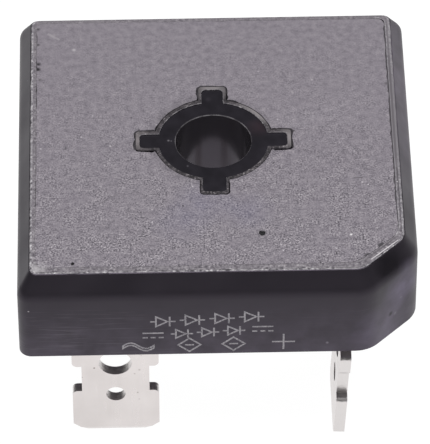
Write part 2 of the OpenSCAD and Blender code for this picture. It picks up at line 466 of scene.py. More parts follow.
# Mineral-filled epoxy, ground flush with the cup: mid grey with a violet cast.
POTTING = GroundSurface(
    name="ground_potting_resin",
    shades=("3c393f", "67626a", "817b83", "979197", "bdb8bd"),
    grain_mm=0.13,
    roughness=0.62,
    wear=(
        Patch(-1.0, -6.4, 2.6, "716e86", 0.3),
        Patch(2.2, -7.2, 2.2, "716e86", 0.3),
        Patch(-2.6, -8.3, 2.4, "716e86", 0.22),
        Patch(-12.8, 8.57, 0.24, "2c2a2e", 1.3),
        Patch(-12.84, 8.02, 0.26, "252327", 1.5),
        Patch(-12.85, 10.69, 0.2, "4a474b", 1.1),
        Patch(-12.85, 12.4, 0.22, "4a474b", 1.0),
        Patch(-12.7, 6.87, 0.2, "565257", 0.9),
        Patch(12.74, 5.9, 0.24, "565257", 1.0),
        Patch(10.62, -12.0, 0.34, "423f44", 2.6),
        Patch(11.62, -11.0, 0.34, "423f44", 2.4),
        Patch(11.1, -11.7, 0.22, "565257", 1.0),
        # Painted shade around the mouth of the larger pit, which widens it.
        Patch(3.19, -9.53, 0.42, "4c484d", 1.0),
        Patch(5.75, 1.0, 0.14, "4c484d", 1.5),
        Patch(7.28, 6.42, 0.1, "b9b5b8", 0.9),
        Patch(8.7, -9.6, 0.1, "c9c5c8", 0.6),
        Patch(9.48, -9.82, 0.13, "e6e2e4", 1.4),
        Patch(11.36, -9.2, 0.1, "c9c5c8", 0.8),
        Patch(-12.5, -12.8, 0.8, "cfcccf", 0.3),
        Patch(-10.19, 10.07, 0.2, "cac6c9", 0.7),
        Patch(-0.3, 0.3, 4.95, "4a464c", 2.0),
        Scratch((9.9, -4.0), (10.55, -4.03), 0.09, "3f3c41", 0.8),
        Scratch((-12.15, 11.88), (-11.25, 11.2), 0.2, "a5a0a4", 0.4),
        Scratch((-8.4, -6.3), (-6.9, -5.2), 0.1, "6a656b", 0.5),
        Scratch((1.4, -10.4), (2.6, -9.7), 0.08, "6a656b", 0.4),
    ),
)

# The cup's own plastic, ground by the same paper: finer, and streaked where it smeared.
RIM = GroundSurface(
    name="ground_black_plastic",
    shades=("3f3c41", "625d64", "79747a", "938e93", "c3bfc2"),
    grain_mm=0.24,
    roughness=0.5,
    rear=0.45,
    front=0.9,
    bump=0.1,
    mottle=0.3,
    wear=(
        Patch(-12.9, -12.9, 0.9, "cbc8ca", 0.5),
        Patch(13.3, 3.0, 11.0, "656166", 1.6),
        Scratch((12.7, -10.1), (10.3, -12.5), 0.14, "5c575d", 0.7),
        Scratch((12.8, -10.45), (10.8, -12.35), 0.08, "cdc9cc", 0.9),
        Scratch((13.07, -3.0), (13.12, -10.4), 0.07, "4c494e", 0.8),
        Scratch((13.22, -6.5), (13.2, -10.2), 0.05, "c2bec1", 0.7),
    ),
)

# The dam's narrow top: ground too, but stained browner by the resin that crept over it.
DAM = GroundSurface(
    name="resin_stained_ground_plastic",
    shades=("1c1a1d", "2a272b", "3c383c", "575256", "a29d9f"),
    grain_mm=0.22,
    roughness=0.5,
    contrast=1.4,
    mottle_mm=1.2,
    mottle=0.8,
    flash_share=0.95,
    bump=0.15,
    wear=(
        Patch(-0.1, 5.5, 1.4, "7f7a7c", 1.3),
        Patch(3.3, 3.3, 1.9, "8b8688", 1.0),
        Patch(-5.5, 0.3, 1.2, "7d7779", 1.1),
        Patch(5.4, 0.3, 1.2, "827d7f", 1.1),
    ),
)

# Mouth of the bore: black plastic with a thin, broken grey line.
BORE_LIP = GroundSurface(
    name="grey_lined_plastic_edge",
    shades=("1d1b1f", "2f2c31", "5b585c", "706d71", "8d8a8e"),
    grain_mm=0.35,
    roughness=0.4,
    mottle_mm=1.2,
    mottle=1.0,
    flash_share=0.99,
    pit_share=0.95,
    bump=0.1,
)

# Edge of the plastic where grinding crushed it: a whitened, broken line.
WHITENED_EDGE = GroundSurface(
    name="whitened_plastic_edge",
    shades=("4f4c50", "77737a", "908c91", "a9a5a9", "cfcccf"),
    grain_mm=0.3,
    roughness=0.5,
    contrast=1.2,
    rear=0.9,
    bump=0.1,
    wear=(Patch(13.3, 2.0, 11.0, "7c787d", 1.2),),
)

# Plastic foamed and whitened by a marking laser: pale strokes, a little uneven.
LASER_MARK = GroundSurface(
    name="laser_foamed_plastic",
    shades=("615d64", "89858c", "a8a4aa", "bab6bb", "cfcccf"),
    grain_mm=0.12,
    roughness=0.7,
    bump=0.1,
)


@dataclass(frozen=True)
class JointShade:
    """Resin that shrank off the cup's wall: a dusty crevice that takes in light."""

    name: str = "shrunk_resin_crevice"
    body: str = "4c484d"
    dust: str = "706b71"
    dust_mm: float = 0.4
    roughness: float = 0.8
    # Painted shade, darker than the rest of the joint: the joint around the dam, and the two pits.
    wear: tuple[Wear, ...] = (
        Patch(-0.1, 0.2, 8.5, "262328", 2.0),
        Patch(3.19, -9.53, 0.7, "161418", 2.5),
        Patch(-10.3, -12.3, 0.6, "1c1a1e", 2.5),
    )

    def build(self) -> Finish:
        """Return the material."""
        material, tree, place = new_material(self.name)
        dust = add(tree, "TexNoise", place, per_mm(self.dust_mm), 2.0)
        colour = add(tree, "Mix", dust, self.body, self.dust, data_type="RGBA")
        for mark in self.wear:
            colour = mark.lay(tree, place, dust, colour)
        return finished(material, {"Base Color": colour, "Roughness": self.roughness})


@dataclass(frozen=True)
class NickelPlate:
    """Nickel plated on stamped copper strip: a warm white metal whose satin blurs what it mirrors."""

    name: str = "satin_nickel_plate"
    # Axis across the strip. The faces that lie along it were sheared, so they are duller.
    across: Point = (0.0, 1.0, 0.0)
    body: str = "e8e2e1"
    shade: str = "d6d0ce"
    sheared: str = "dcd8d7"
    spot: str = "a39a97"
    roughness: float = 0.3
    sheared_roughness: float = 0.3
    burr_roughness: float = 0.6
    blotch_mm: float = 2.2
    roll_mm: float = 0.3
    spot_mm: float = 1.5
    tear_mm: float = 0.45
    burr: float = 0.7
    wear: tuple[Wear, ...] = ()

    def build(self) -> Finish:
        """Return the material: faint blotches from the bath, lines from the rolled strip, dull cut faces."""
        material, tree, place = new_material(self.name)
        blotches = add(tree, "TexNoise", place, per_mm(self.blotch_mm), 4.0)
        drawn = add(tree, "VectorMath", place, (1.0, 1.0, 0.1), operation="MULTIPLY")
        lines = add(tree, "TexNoise", drawn, per_mm(self.roll_mm), 2.0)
        tone = add(tree, "Mix", blotches, self.body, self.shade, data_type="RGBA")
        spots = speckle(tree, place, self.spot_mm, 0.06, 0.7)
        worn = add(tree, "Mix", spots, tone, self.spot, data_type="RGBA")
        for mark in self.wear:
            worn = mark.lay(tree, place, blotches, worn)
        normal = add(tree, "TexCoord").outputs["Normal"]
        facing = add(tree, "VectorMath", normal, self.across, operation="DOT_PRODUCT")
        flat = add(tree, "Math", facing, operation="ABSOLUTE")
        cut = add(tree, "MapRange", flat, 0.2, 0.6, 1.0, 0.0)
        dressed = add(tree, "Mix", cut, worn, self.sheared, data_type="RGBA")
        rough = add(tree, "MapRange", lines, 0.3, 0.7, self.roughness - 0.03, self.roughness + 0.03)
        # Faces that the press left looking up are burred and rolled over, so they catch stray light.
        up = add(tree, "SeparateXYZ", normal).outputs["Z"]
        dull = add(tree, "MapRange", up, 0.2, 0.9, self.sheared_roughness, self.burr_roughness)
        duller = add(tree, "Mix", cut, rough, dull)
        torn = add(tree, "TexNoise", place, per_mm(self.tear_mm), 2.0)
        burr = add(tree, "MapRange", up, 0.2, 0.9, 0.2, self.burr)
        force = add(tree, "Math", cut, burr, operation="MULTIPLY", use_clamp=True)
        tears = add(tree, "Bump", force, 0.16 * MM, named={"Height": torn})
        bump = add(tree, "Bump", 0.15, 0.05 * MM, named={"Height": blotches, "Normal": tears})
        return finished(
            material, {"Base Color": dressed, "Metallic": 1.0, "Roughness": duller, "Normal": bump}
        )


@dataclass(frozen=True)
class InnerMaterial:
    """Finish of a part that the potting hides, kept plain but true to what the part is made of."""

    name: str
    body: str
    shade: str
    metallic: float
    roughness: float
    grain_mm: float = 0.3

    def build(self) -> Finish:
        """Return the material."""
        material, tree, place = new_material(self.name)
        grain = add(tree, "TexNoise", place, per_mm(self.grain_mm), 2.0)
        tone = add(tree, "Mix", grain, self.body, self.shade, data_type="RGBA")
        return finished(
            material, {"Base Color": tone, "Metallic": self.metallic, "Roughness": self.roughness}
        )


# Diced silicon wafer, metallised on both faces: a cool dark mirror.
SILICON = InnerMaterial("diced_silicon", "565b66", "474b55", 1.0, 0.25)
# Half-hard copper strip, cut and bent: warm, slightly tarnished.
COPPER = InnerMaterial("bent_copper_strip", "c27a4e", "a9653f", 1.0, 0.32)
# Reflowed solder: soft grey metal with a frosted skin.
SOLDER = InnerMaterial("reflowed_solder", "b9bcc2", "9ea1a8", 1.0, 0.4)


# ---- Mesh making ----

Ring = list[bmesh.types.BMVert]
Band = tuple[list[Flat], float | list[float], int | list[int]]


def show(name: str, data: bpy.types.ID) -> bpy.types.Object:
    """Put a new object with this data into the scene and return it."""
    shown = bpy.data.objects.new(name, data)
    bpy.context.scene.collection.objects.link(shown)
    return shown


def around(ring: list) -> zip:
    """Return each member of a closed ring with the next one."""
    return zip(ring, ring[1:] + ring[:1])


class Skin:
    """Joins rings of points, in millimetres, into one closed mesh."""

    def __init__(self) -> None:
        """Start with an empty mesh."""
        self.mesh = bmesh.new()

    def ring(self, outline: list[Flat], heights: float | list[float]) -> Ring:
        """Add a closed ring of points and the edges between them.

        Args:
            outline: The ring seen from above.
            heights: One height for all points, or one for each.

        Returns:
            The ring's vertices.
        """
        if not isinstance(heights, list):
            heights = [heights] * len(outline)
        return self.section([(x, y, z) for (x, y), z in zip(outline, heights)])

    def section(self, points: list[Point]) -> Ring:
        """Add a closed ring of points in space and the edges between them.

        Args:
            points: The ring.

        Returns:
            The ring's vertices.
        """
        ring = [self.mesh.verts.new(point) for point in points]
        for pair in around(ring):
            self.mesh.edges.new(pair)
        return ring

    def loft(self, rings: list[Ring], finish: int | list[int] = 0) -> None:
        """Join rings of equal length, one to the next, with quads.

        Args:
            rings: The rings in order.
            finish: Number of the material that the quads get, or one number for each quad of a ring.
        """
        for low, high in zip(rings, rings[1:]):
            for i in range(len(low)):
                j = (i + 1) % len(low)
                face = self.mesh.faces.new((low[i], low[j], high[j], high[i]))
                face.material_index = finish[i] if isinstance(finish, list) else finish

    def tube(self, *bands: Band) -> list[Ring]:
        """Add rings one after another, each joined to the one before it.

        Args:
            bands: For each ring its outline, its height or heights, and the finish of the band below it.

        Returns:
            The rings.
        """
        rings: list[Ring] = []
        for outline, heights, finish in bands:
            rings.append(self.ring(outline, heights))
            self.loft(rings[-2:], finish)
        return rings

    def fill(self, rings: list[Ring], finish: int = 0, also: tuple = ()) -> None:
        """Close the level area between rings, with holes where rings lie inside others.

        Args:
            rings: The rings that bound the area.
            finish: Number of the material that the faces get.
            also: Further edges that bound it.
        """
        edges = [*also, *(self.mesh.edges.get(pair) for ring in rings for pair in around(ring))]
        made = bmesh.ops.triangle_fill(self.mesh, edges=edges, use_beauty=True, normal=(0.0, 0.0, 1.0))
        for face in made["geom"]:
            if isinstance(face, bmesh.types.BMFace):
                face.material_index = finish

    def piece(self, name: str, finishes: list[Finish], crease: float = 32.0) -> bpy.types.Object:
        """Turn the mesh into a piece of the object.

        Args:
            name: Name of the piece.
            finishes: Materials, in the order of their numbers.
            crease: Angle in degrees above which an edge stays sharp.

        Returns:
            The piece, in the scene and riding on the body.
        """
        bmesh.ops.recalc_face_normals(self.mesh, faces=self.mesh.faces[:])
        for face in self.mesh.faces:
            face.smooth = True
        for edge in self.mesh.edges:
            edge.smooth = len(edge.link_faces) == 2 and edge.calc_face_angle(0.0) < math.radians(crease)
        self.mesh.transform(Matrix.Scale(MM, 4))
        data = bpy.data.meshes.new(name)
        self.mesh.to_mesh(data)
        self.mesh.free()
        for finish in finishes:
            data.materials.append(finish)
        piece = show(name, data)
        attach(piece, BODY)
        LOG.info("made %s with %d faces", name, len(data.polygons))
        return piece


def arc(centre: Flat, radius: float, start: float, end: float, steps: int) -> list[Flat]:
    """Lay points along an arc.

    Args:
        centre: Centre of the arc.
        radius: Its radius.
        start: First angle in degrees.
        end: Last angle in degrees.
        steps: Number of chords.

    Returns:
        The points, both ends included.
    """
    turns = [math.radians(start + (end - start) * i / steps) for i in range(steps + 1)]
    return [(centre[0] + radius * math.cos(t), centre[1] + radius * math.sin(t)) for t in turns]


def join(runs: list[list[Flat]], steps: list[int]) -> list[Flat]:
    """Close runs of points into one outline.

    Args:
        runs: Runs of points in order.
        steps: Number of chords on the straight after each run.

    Returns:
        The outline, with evenly spaced points on the straights.
    """
    outline: list[Flat] = []
    for run, following, count in zip(runs, runs[1:] + runs[:1], steps):
        outline += run
        (ax, ay), (bx, by) = run[-1], following[0]
        outline += [(ax + (bx - ax) * i / count, ay + (by - ay) * i / count) for i in range(1, count)]
    return outline


def grow(outline: list[Flat], by: list[float] | float) -> list[Flat]:
    """Move each point of a counter-clockwise outline outwards.

    Args:
        outline: The outline.
        by: One distance for all points, or one for each. Below zero moves inwards.

    Returns:
        The moved outline.
    """
    if not isinstance(by, list):
        by = [by] * len(outline)
    moved = []
    for i, (x, y) in enumerate(outline):
        before, after = outline[i - 1], outline[(i + 1) % len(outline)]
        dx, dy = after[0] - before[0], after[1] - before[1]
        length = math.hypot(dx, dy)
        moved.append((x + by[i] * dy / length, y - by[i] * dx / length))
    return moved


def ramp(value: float, start: float = 0.0, run: float = 1.0) -> float:
    """Return how far a value has come from a start along a run, from 0 to 1."""
    return max(0.0, min(1.0, (value - start) / run))


def ragged(outline: list[Flat], size: float, amount: float, seed: float) -> list[float]:
    """Draw a random but repeatable distance for each point of an outline.

    Args:
        outline: The outline.
        size: Length of one wave, in millimetres.
        amount: Mean distance.
        seed: Sets one pattern apart from another.

    Returns:
        The distances, from 0 to about twice the mean.
    """
    distances = []
    for x, y in outline:
        wave = noise.noise(Vector((x / size, y / size, seed)))
        ripple = noise.noise(Vector((3.1 * x / size, 3.1 * y / size, seed + 7)))
        distances.append(amount * (1 + wave + 0.6 * ripple))
    return distances


# ---- Moulded cup and potting ----


@dataclass
class Plan:
    """Sizes that the cup and the potting share, seen from above."""

    width: float = 28.55
    cut: float = 3.6
    cut_r: float = 2.3
    corner_r: float = 0.9
    rim_r: float = 0.55
    pocket_r: float = 0.5
    bevel_w: float = 0.93
    rim_w: float = 0.37
    recess_d: float = 8.0
    arm_reach: float = 5.35
    arm_w: float = 1.45
    arm_r: float = 0.3
    dam_w: float = 0.3
    tab_row: float = 9.05
    tab_side: float = 7.5
    plus_row: float = 9.5
    plus_side: float = 7.6
    slot_w: float = 6.55
    slot_t: float = 1.0
    # The ground face shows the dam and its recess a little off the case's centre.
    dam_off: Flat = (-0.09, 0.18)
    # It was ground a touch out of level too, which moves its front, rear and right edges.
    front_in: float = 0.17
    rear_out: float = 0.05
    right_in: float = 0.07
    # How much wider the recess's four arms are than named, on each side: right, rear, left, front.
    arm_extra: tuple[float, ...] = (0.0, 0.06, 0.0, 0.13)
    dam_r: float = 0.28
    # Chords on each side and on the corner cut.
    side_steps: int = 110
    cut_steps: int = 16
    # The joint's radius at the corner cut, and how far it keeps from the cut's face.
    joint_r: float = 1.9
    joint_in: float = 0.2
    # The rim is wider at the front: where that starts, over what length, and by how much.
    front_from: float = 11.0
    front_run: float = 1.6
    front_more: float = 0.13
    # The joint gapes along the two long sides: how far out they lie, and where the front corners end.
    side_from: float = 12.2
    side_run: float = 0.5
    corner_from: float = -9.5
    corner_run: float = 3.0
    # How far it gapes elsewhere, how sharply it opens, and how much stays shut at the right and the left.
    gape_base: float = 0.25
    gape_gain: float = 2.4
    shut_right: float = 0.1
    shut_left: float = 0.4

    @property
    def pocket_inset(self) -> float:
        """Distance from the side to the pocket's wall."""
        return self.bevel_w + self.rim_w

    def square(
        self,
        inset: float,
        round_r: float | None = None,
        end_r: float | None = None,
        cut_in: float = 0.0,
        level: bool = True,
    ) -> list[Flat]:
        """Draw the case's outline, drawn in from its side.

        Args:
            inset: Distance from the case's side.
            round_r: Corner radius; the radius at that place of the bevel if left out.
            end_r: Radius at the ends of the corner cut; concentric with the case's if left out.
            cut_in: Extra distance from the corner cut's face.
            level: Whether the outline follows the ground face, which is a touch out of level.

        Returns:
            The outline, counter-clockwise from the corner cut.
        """
        if round_r is None:
            round_r = self.corner_r + (self.rim_r - self.corner_r) * inset / self.bevel_w
        if end_r is None:
            end_r = self.cut_r - inset
        near = self.width / 2 - inset - round_r
        far = self.width / 2 - inset - end_r
        reach = (self.width - self.cut) / math.sqrt(2) - inset - cut_in
        back = (reach - end_r) * math.sqrt(2) - far
        runs = [
            arc((back, -far), end_r, -90, -45, 8),
            arc((far, -back), end_r, -45, 0, 8),
            arc((near, near), round_r, 0, 90, 10),
            arc((-near, near), round_r, 90, 180, 10),
            arc((-near, -near), round_r, 180, 270, 10),
        ]
        out = self.width / 2 - self.bevel_w
        share = min(1.0, inset / self.bevel_w) / out if level else 0.0
        return [
            (
                x - share * self.right_in * max(0.0, x),
                y + share * (self.front_in * max(0.0, -y) + self.rear_out * max(0.0, y)),
            )
            for x, y in join(runs, [self.cut_steps] + [self.side_steps] * 4)
        ]

    def cross(self, out: float, round_r: float | None = None) -> list[Flat]:
        """Draw the outline of the recess around the screw hole, drawn out by a distance.

        Args:
            out: Distance outside the recess's edge. The dam's outside is one dam width out.
            round_r: Radius of the arms' corners; concentric with the recess's if left out.

        Returns:
            The outline, counter-clockwise from the right arm.
        """
        radius = self.recess_d / 2 + out
        half = self.arm_w / 2 + out
        reach = self.arm_reach + out
        if round_r is None:
            round_r = self.arm_r + out
        halves = [half + more * (1 - out / self.dam_w) for more in self.arm_extra]
        runs = []
        for (wide, following), (c, s) in zip(around(halves), ((1, 0), (0, 1), (-1, 0), (0, -1))):
            root, last = (math.degrees(math.asin(w / radius)) for w in (wide, following))
            quarter = [
                arc((reach - round_r, round_r - wide), round_r, -90, 0, 6),
                arc((reach - round_r, wide - round_r), round_r, 0, 90, 6),
                arc((0, 0), radius, root, 90 - last, 20),
            ]
            runs += [[(x * c - y * s, x * s + y * c) for x, y in run] for run in quarter]
        return join(runs, [5, 8, 8] * 4)

    def shift(self, outline: list[Flat]) -> list[Flat]:
        """Move an outline with the dam as the ground face shows it."""
        return [(x + self.dam_off[0], y + self.dam_off[1]) for x, y in outline]

    def slots(self) -> list[list[Flat]]:
        """Return the outlines of the four slots that the tabs pass through."""
        places = [
            (self.plus_row, -self.plus_side, self.slot_t, self.slot_w),
            (-self.tab_side, -self.tab_row, self.slot_w, self.slot_t),
            (self.tab_side, self.tab_row, self.slot_w, self.slot_t),
            (-self.tab_side, self.tab_row, self.slot_w, self.slot_t),
        ]
        return [
            [(x + i * w / 2, y + j * t / 2) for i, j in ((-1, -1), (1, -1), (1, 1), (-1, 1))]
            for x, y, w, t in places
        ]

    def joint(self) -> list[Flat]:
        """Return the line where rim and potting meet: wider at the front and rounder at the plus corner."""
        line = self.square(self.pocket_inset, self.pocket_r, self.joint_r, self.joint_in)
        front = [self.front_more * ramp(-y, self.front_from, self.front_run) for x, y in line]
        wave = ragged(line, 2.3, 0.022, 3.0)
        return grow(line, [-(f + w) for f, w in zip(front, wave)])

    def openness(self) -> list[float]:
        """Return how far the joint gapes at each of its points: 1 is open, 0 closed.

        The resin shrank off the two long sides, and clings to the front, the rear and the plus corner.
        """
        line = self.joint()
        spread = []
        for (x, y), gap in zip(line, ragged(line, 1.3, 0.5, 61.0)):
            side = ramp(abs(x), self.side_from, self.side_run) * ramp(y, self.corner_from, self.corner_run)
            shut = self.shut_right if x > 0 else self.shut_left
            open_share = self.gape_base + (1 - self.gape_base) * side
            spread.append(ramp(open_share * self.gape_gain * (gap - shut)))
        return spread

    def dam(self) -> list[Flat]:
        """Return the dam's outside at the ground face, where its arms have squarer corners."""
        return self.shift(self.cross(self.dam_w, self.dam_r))


class CupFace(IntEnum):
    """The cup's faces by finish, as numbered among its materials."""

    MOULDED = 0
    RIM = 1
    CRUSHED = 2
    DAM = 3
    BORE = 4
    BORE_LIP = 5
    RECESS = 6


@dataclass
class CupCase:
    """The black moulded cup: bevelled outside, ground rim, dam and recess around the screw hole."""

    plan: Plan
    height: float = 7.55
    floor_t: float = 1.2
    foot_break: float = 0.25
    bevel_h: float = 1.5
    blend_r: float = 1.5
    hole_r: float = 2.75
    recess_depth: float = 0.12
    joint_depth: float = 0.16
    lip: float = 0.055
    skin_gap: float = 0.006
    crease: float = 19.0
    # How the foot's edge eases into the side, and the lengths of the side that stay flat beside it and
    # below the bevel's blend.
    foot_ease: float = 0.03
    foot_hold: float = 0.3
    blend_hold: float = 0.25
    # Depth below the joint at which the walls stand where the solid has them.
    settle: float = 0.3
    # The chips along the rim's outer edge: their least width and depth, and how they lean.
    chip_w: float = 0.03
    chip_d: float = 0.06
    chip_lean: float = 1.4
    # The rim's crushed edge, and how much wider it is along the long sides.
    crushed_w: float = 0.05
    worn_band: float = 0.1
    worn_from: float = 12.7
    worn_run: float = 0.4
    # The rim's inner edge: its width, and from where on it is crushed, across and along.
    pale_w: float = 0.09
    crushed_from: Flat = (12.4, -10.0)
    # Its lip: width and depth where the joint is shut, and what an open joint adds to each.
    lip_w: Flat = (0.003, 0.02)
    lip_d: Flat = (0.002, 0.03)
    # The dam's outer lip and the recess's edge, each with its width and depth.
    dam_lip: Flat = (0.02, 0.03)
    recess_lip: Flat = (0.012, 0.045)

    @property
    def floor_z(self) -> float:
        """Height of the pocket's floor."""
        return self.floor_t - self.height

    def outside(self) -> list[Band]:
        """Return the outside's bands, from the underside's edge to the start of the rim's edge."""
        slope = math.atan(self.plan.bevel_w / self.bevel_h)
        start = -self.bevel_h - self.blend_r * math.tan(slope / 2)
        foot = self.foot_break - self.height
        profile = [
            (self.foot_break, -self.height),
            (self.foot_ease, foot - self.foot_ease),
            (self.skin_gap, foot),
            (self.skin_gap, foot + self.foot_hold),
            (self.skin_gap, start - self.blend_hold),
        ]
        steps = 8
        for i in range(steps + 1):
            turn = slope * i / steps
            inset = self.blend_r * (1 - math.cos(turn)) + self.skin_gap * (1 - i / steps)
            profile.append((inset, start + self.blend_r * math.sin(turn)))
        last_inset, last_z = profile[-1]
        # Rings up the bevel, close together where it meets the rim.
        for share in (0.15, 0.6, 0.85, 0.9):
            profile.append((last_inset + (self.plan.bevel_w - last_inset) * share, last_z * (1 - share)))
        return [(self.plan.square(inset), z, CupFace.MOULDED) for inset, z in profile]

    def rim_edge(self) -> list[Band]:
        """Return the bands of the rim's crushed outer edge, which is a little chipped."""
        base = self.plan.square(self.plan.bevel_w)
        chips = ragged(base, 1.1, 0.02, 11.0)
        low = grow(self.plan.square(self.plan.bevel_w - self.chip_w), [-c for c in chips])
        high = grow(base, [-(self.chip_w + self.chip_lean * c) for c in chips])
        return [(low, [-self.chip_d - c for c in chips], CupFace.MOULDED), (high, 0.0, CupFace.CRUSHED)]

    def rim(self) -> list[Band]:
        """Return the bands of the ground rim and of the pocket's wall inside it."""
        plan = self.plan
        joint, gape = plan.joint(), plan.openness()
        edge = plan.square(plan.bevel_w + self.crushed_w)
        wear = [-self.worn_band * ramp(abs(x), self.worn_from, self.worn_run) for x, y in edge]
        wall = plan.square(plan.pocket_inset, plan.pocket_r, level=False)
        (width, more), (depth, deeper) = self.lip_w, self.lip_d
        out, back = self.crushed_from
        inner = [CupFace.CRUSHED if x > out and y > back else CupFace.RIM for x, y in joint]
        return [
            (grow(edge, wear), 0.0, CupFace.CRUSHED),
            (grow(joint, self.pale_w), 0.0, CupFace.RIM),
            (grow(joint, [width + more * g for g in gape]), 0.0, inner),
            (joint, [-depth - deeper * g for g in gape], CupFace.RIM),
            (joint, -self.joint_depth, CupFace.MOULDED),
            (wall, -self.joint_depth - self.settle, CupFace.MOULDED),
            (wall, self.floor_z, CupFace.MOULDED),
        ]

    def dam(self) -> list[Band]:
        """Return the bands of the dam, from its foot over its top to the recess's floor."""
        plan = self.plan
        solid, ground, cross = plan.cross(plan.dam_w), plan.dam(), plan.shift(plan.cross(0.0))
        nicks = ragged(cross, 0.8, 0.014, 51.0)
        (dam_w, dam_d), (edge_w, edge_d) = self.dam_lip, self.recess_lip
        return [
            (solid, self.floor_z, CupFace.MOULDED),
            (solid, -self.joint_depth - self.settle, CupFace.MOULDED),
            (ground, -self.joint_depth, CupFace.MOULDED),
            (ground, -dam_d, CupFace.MOULDED),
            (grow(ground, -dam_w), 0.0, CupFace.MOULDED),
            (grow(cross, [edge_w + n for n in nicks]), 0.0, CupFace.DAM),
            (cross, [-edge_d - n for n in nicks], CupFace.CRUSHED),
            (cross, -self.recess_depth, CupFace.MOULDED),
        ]

    def bore(self) -> list[Band]:
        """Return the bands of the screw hole, from its lip to its lower end."""
        wide, narrow = (arc((0, 0), r, 0, 360, 96)[:-1] for r in (self.hole_r + self.lip, self.hole_r))
        shift = self.plan.shift
        return [
            (shift(wide), -self.recess_depth, CupFace.RECESS),
            (shift(narrow), -self.recess_depth - self.lip, CupFace.BORE_LIP),
            (shift(narrow), -self.height / 2, CupFace.BORE),
            (narrow, self.lip - self.height, CupFace.BORE),
            (wide, -self.height, CupFace.BORE),
        ]

    def build(self, finishes: list[Finish]) -> None:
        """Make the cup and hide its solid.

        Args:
            finishes: One for each of the cup's faces, in the order of their numbers.
        """
        skin = Skin()
        outside = skin.tube(*self.outside(), *self.rim_edge(), *self.rim())
        dam = skin.tube(*self.dam())
        bore = skin.tube(*self.bore())
        slots = [
            skin.tube((slot, self.floor_z, CupFace.MOULDED), (slot, -self.height, CupFace.MOULDED))
            for slot in self.plan.slots()
        ]
        skin.fill([dam[-1], bore[0]], CupFace.RECESS)
        skin.fill([outside[-1], dam[0], *(slot[0] for slot in slots)])
        skin.fill([outside[0], bore[-1], *(slot[1] for slot in slots)])
        piece = skin.piece("cup_case", finishes, self.crease)
        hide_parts("case_shell")


class ResinFace(IntEnum):
    """The resin's faces by finish, as numbered among its materials."""

    GROUND = 0
    CREVICE = 1


